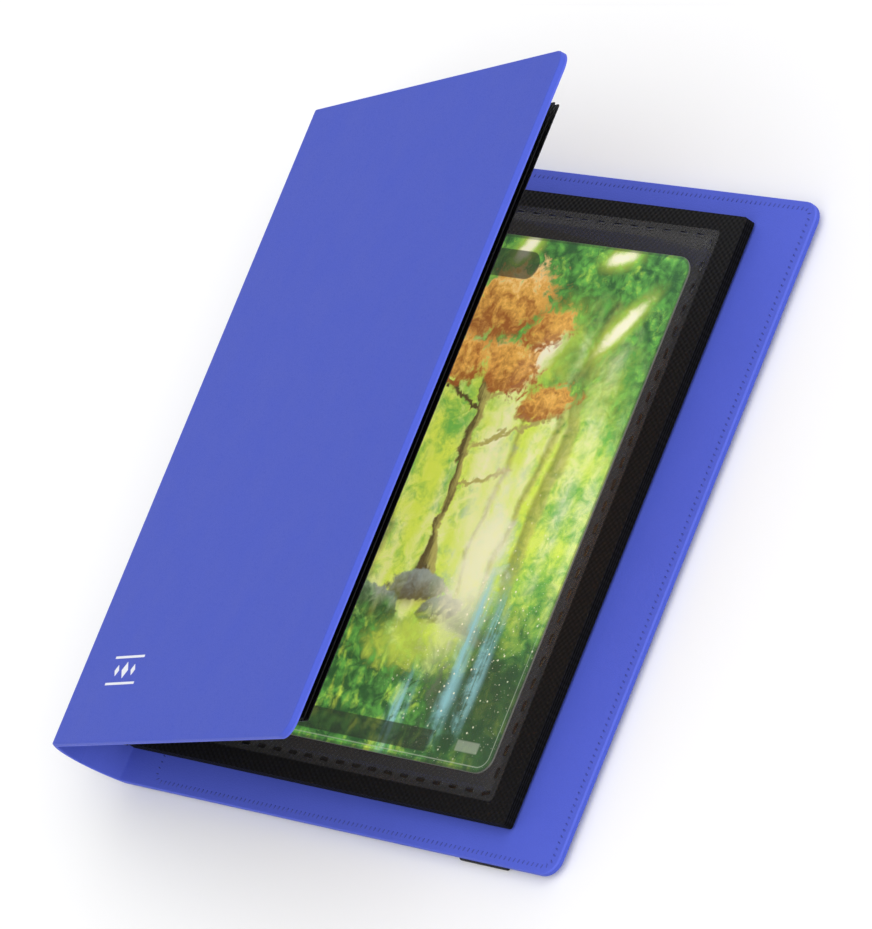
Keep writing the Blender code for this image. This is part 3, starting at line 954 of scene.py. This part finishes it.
cards = {
    "right_trading_card": (rightCount, 1, glowingCardFace("cardFaceGreen", greenArt, False)),
    "left_trading_card": (rightCount + 1, -1, glowingCardFace("cardFaceRed", redArt, True)),
}
for node, (number, reader, face) in cards.items():
    place = pagePlace(number, reader) @ Matrix.Translation((cardLow.x, pageTail + cardLow.y, 0))
    newPiece(f"{node}_printed", cardShape(), [face, cardReverse, cardEdge], place, f"page_{number:02d}",
             (node,))
print("cards made")


# Strap

strap = {"fold": 0.4, "rampStart": 7.0, "rampEnd": 13.0, "thickness": 0.5, "clearance": 0.1,
         "held": 20.0, "rim": 0.12}


def strapShape():  # seen from the tail edge inwards, below the back cover's inner side
    shape = bmesh.new()
    width = nodeSize("elastic_strap").x
    left = fromCrease("elastic_strap", 0).x
    upper = -coverThickness - strap["clearance"] - strap["thickness"] / 2
    radius = (strap["thickness"] + strap["clearance"]) / 2
    start = [shape.verts.new((left, y, upper)) for y in (slit["to"], strap["fold"])]
    shape.edges.new(start)
    foldCentre = (left, strap["fold"], upper - radius)
    fold = bmesh.ops.spin(shape, geom=[start[1]], cent=foldCentre, axis=(1, 0, 0), angle=math.pi, steps=10)
    here = fold["geom_last"][0]
    run = strap["rampEnd"] - strap["rampStart"]
    ramp = [(strap["rampStart"] + run * step / 8, smooth(step / 8)) for step in range(9)]
    places = [(y, upper - 2 * radius * (1 - share)) for y, share in ramp]
    rest = coverHeight / 2 - strap["rampEnd"]
    places += [(strap["rampEnd"] + rest * step / 12, upper) for step in range(1, 13)]
    for y, z in places:
        there = shape.verts.new((left, y, z))
        shape.edges.new((here, there))
        here = there
    side = bmesh.ops.extrude_edge_only(shape, edges=shape.edges[:])["geom"]
    moved = [item for item in side if isinstance(item, bmesh.types.BMVert)]
    bmesh.ops.translate(shape, vec=(width, 0, 0), verts=moved)
    bmesh.ops.recalc_face_normals(shape, faces=shape.faces)
    shape.normal_update()
    for vert in shape.verts:
        vert.co += vert.normal * strap["thickness"] / 2
    bmesh.ops.solidify(shape, geom=shape.faces[:], thickness=strap["thickness"])
    return shape


def strapHalf(name, head):
    shape = strapShape()
    sharpEdges = [edge for edge in shape.edges if len(edge.link_faces) == 2
                  and edge.calc_face_angle(0) > math.radians(60)
                  and abs(edge.verts[0].co.x - edge.verts[1].co.x) < 1e-4]
    softened(shape, sharpEdges, strap["rim"], 2)
    if head:
        bmesh.ops.scale(shape, vec=(1, -1, 1), verts=shape.verts)
        bmesh.ops.translate(shape, vec=(0, coverHeight, 0), verts=shape.verts)
    piece = newPiece(name, shape, [wovenElastic], placing(backCrease, 0), stands=("elastic_strap",))
    ends = (slit["to"], strap["held"])
    edge, inside = ((coverHeight - y if head else y) for y in ends)
    start, end = (Vector((backCrease.x, tailY + y * mm, backCrease.z)) for y in (edge, inside))
    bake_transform(piece)


strapHalf("strap_tail_half", False)
strapHalf("strap_head_half", True)
print("strap made")


# Kept parts of the model: boards, binding strip and the strap's sewn-in ends

kept = {"back_cover_board": greyBoard, "front_cover_board": greyBoard,
        "page_binding_strip": bindingRubber, "strap_end_tail": sewnElastic, "strap_end_head": sewnElastic}
for node, material in kept.items():
    mesh = frame["nodes"][node].data
    mesh.materials.clear()
    mesh.materials.append(material)
print("kept parts finished")


# Floor, lights and camera

studio = {"floor": 0.95, "floorSize": 4.0, "sky": 1.0, "skyBehind": 0.58, "keyPower": 12.5,
          "keySize": 1.6, "keyPlace": (1.15, 0.2, 1.30)}
view = {"place": (0.86395, -0.23390, 0.77662), "turn": (31.924, 39.920, 28.826), "lens": 290.07}


def makeFloor():
    shape = bmesh.new()
    bmesh.ops.create_grid(shape, x_segments=1, y_segments=1, size=studio["floorSize"] / 2)
    bmesh.ops.translate(shape, vec=(0, 0, cadBox[0][2]), verts=shape.verts)
    mesh = bpy.data.meshes.new("floor")
    shape.to_mesh(mesh)
    shape.free()
    made, wire = newMaterial("paleFloor", Specular_IOR_Level=0.1)
    cloud = noise(objectPoint(wire), 3.0, 2.0)
    dark, light = (colour(tone, tone, tone) for tone in (studio["floor"], studio["floor"] * 1.02))
    base = mixColours(wire, dark, light, cloud)
    feed(made, Base_Color=base, Roughness=0.9 + 0.05 * cloud)
    mesh.materials.append(made)
    floor = bpy.data.objects.new("floor", mesh)
    bpy.context.scene.collection.objects.link(floor)


def makeLights():
    world = bpy.data.worlds.new("studio")
    world.use_nodes = True
    sky = world.node_tree.nodes["Background"]
    wire = Wire(world.node_tree)
    direction = wire.node("ShaderNodeTexCoord", {}, {}, "Generated")
    towardX = wire.node("ShaderNodeSeparateXYZ", {}, {"Vector": direction}, "X")
    tones = [colour(tone, tone, tone) for tone in (studio["skyBehind"], studio["sky"])]
    tint = mixColours(wire, *tones, smoothStep(towardX, -0.75, -0.1))  # dimmer past the spine
    world.node_tree.links.new(tint.socket, sky.inputs["Color"])
    bpy.context.scene.world = world
    light = bpy.data.lights.new("key", "AREA")
    light.energy = studio["keyPower"]
    light.size = studio["keySize"]
    key = bpy.data.objects.new("key", light)
    bpy.context.scene.collection.objects.link(key)
    key.location = studio["keyPlace"]
    key.rotation_euler = (-key.location).to_track_quat("-Z", "Y").to_euler()
    bpy.context.scene.view_settings.view_transform = "Standard"


def makeCamera():
    lens = bpy.data.cameras.new("camera")
    lens.lens = view["lens"]
    lens.sensor_width = 36.0
    lens.sensor_fit = "AUTO"
    camera = bpy.data.objects.new("camera", lens)
    bpy.context.scene.collection.objects.link(camera)
    camera.location = view["place"]
    camera.rotation_euler = [math.radians(angle) for angle in view["turn"]]
    bpy.context.scene.camera = camera


makeFloor()
makeLights()
makeCamera()
print("studio ready")
